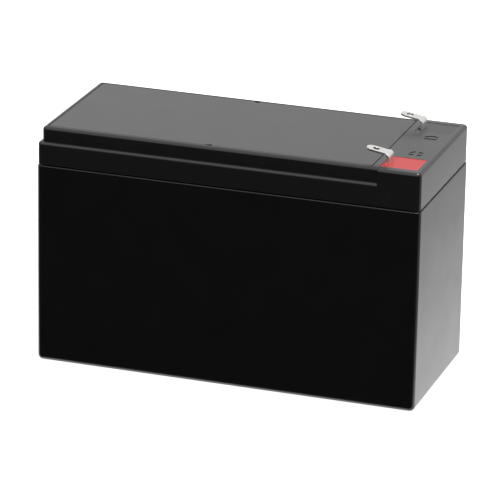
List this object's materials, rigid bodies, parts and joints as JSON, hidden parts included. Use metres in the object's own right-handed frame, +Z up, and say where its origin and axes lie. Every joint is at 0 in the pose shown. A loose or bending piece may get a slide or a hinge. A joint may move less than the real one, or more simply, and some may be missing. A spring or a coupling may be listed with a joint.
{
  "type": "sealed lead-acid battery",
  "caption": "Black oblong sealed battery with a stepped lid, a flush cover plate, and bent tinned tabs rising from a red and a black resin well at one end.",
  "frame": {"origin": "Middle of the base, on the surface that the battery stands on.", "axes": "+X along the length towards the end with the terminals, +Y across the width towards the negative terminal, +Z up."},
  "size_m": [0.151, 0.065, 0.0991],
  "materials": {
    "case_plastic": "satin black moulded ABS",
    "red_resin": "glossy cast red epoxy",
    "black_resin": "glossy cast black epoxy",
    "tin_plate": "bright tin plating on brass",
    "lead": "dull cast lead",
    "positive_paste": "matt brown lead dioxide paste on a lead grid",
    "negative_paste": "matt grey sponge lead on a lead grid",
    "glass_mat": "soft white glass-fibre mat",
    "valve_rubber": "matt black rubber"
  },
  "bodies": {
    "root": {"container": "case_plastic", "lid": "case_plastic", "cover_plate": "case_plastic", "vent_cap_1": "valve_rubber", "vent_cap_2": "valve_rubber", "vent_cap_3": "valve_rubber", "vent_cap_4": "valve_rubber", "vent_cap_5": "valve_rubber", "vent_cap_6": "valve_rubber", "positive_terminal": "tin_plate", "negative_terminal": "tin_plate", "positive_resin": "red_resin", "negative_resin": "black_resin", "positive_post": "lead", "negative_post": "lead", "positive_post_seal": "valve_rubber", "negative_post_seal": "valve_rubber", "cell_1_positive_plates": "positive_paste", "cell_2_positive_plates": "positive_paste", "cell_3_positive_plates": "positive_paste", "cell_4_positive_plates": "positive_paste", "cell_5_positive_plates": "positive_paste", "cell_6_positive_plates": "positive_paste", "cell_1_negative_plates": "negative_paste", "cell_2_negative_plates": "negative_paste", "cell_3_negative_plates": "negative_paste", "cell_4_negative_plates": "negative_paste", "cell_5_negative_plates": "negative_paste", "cell_6_negative_plates": "negative_paste", "cell_1_separator": "glass_mat", "cell_2_separator": "glass_mat", "cell_3_separator": "glass_mat", "cell_4_separator": "glass_mat", "cell_5_separator": "glass_mat", "cell_6_separator": "glass_mat", "intercell_weld_1_2": "lead", "intercell_weld_2_3": "lead", "intercell_weld_3_4": "lead", "intercell_weld_4_5": "lead", "intercell_weld_5_6": "lead"}
  },
  "joints": []
}
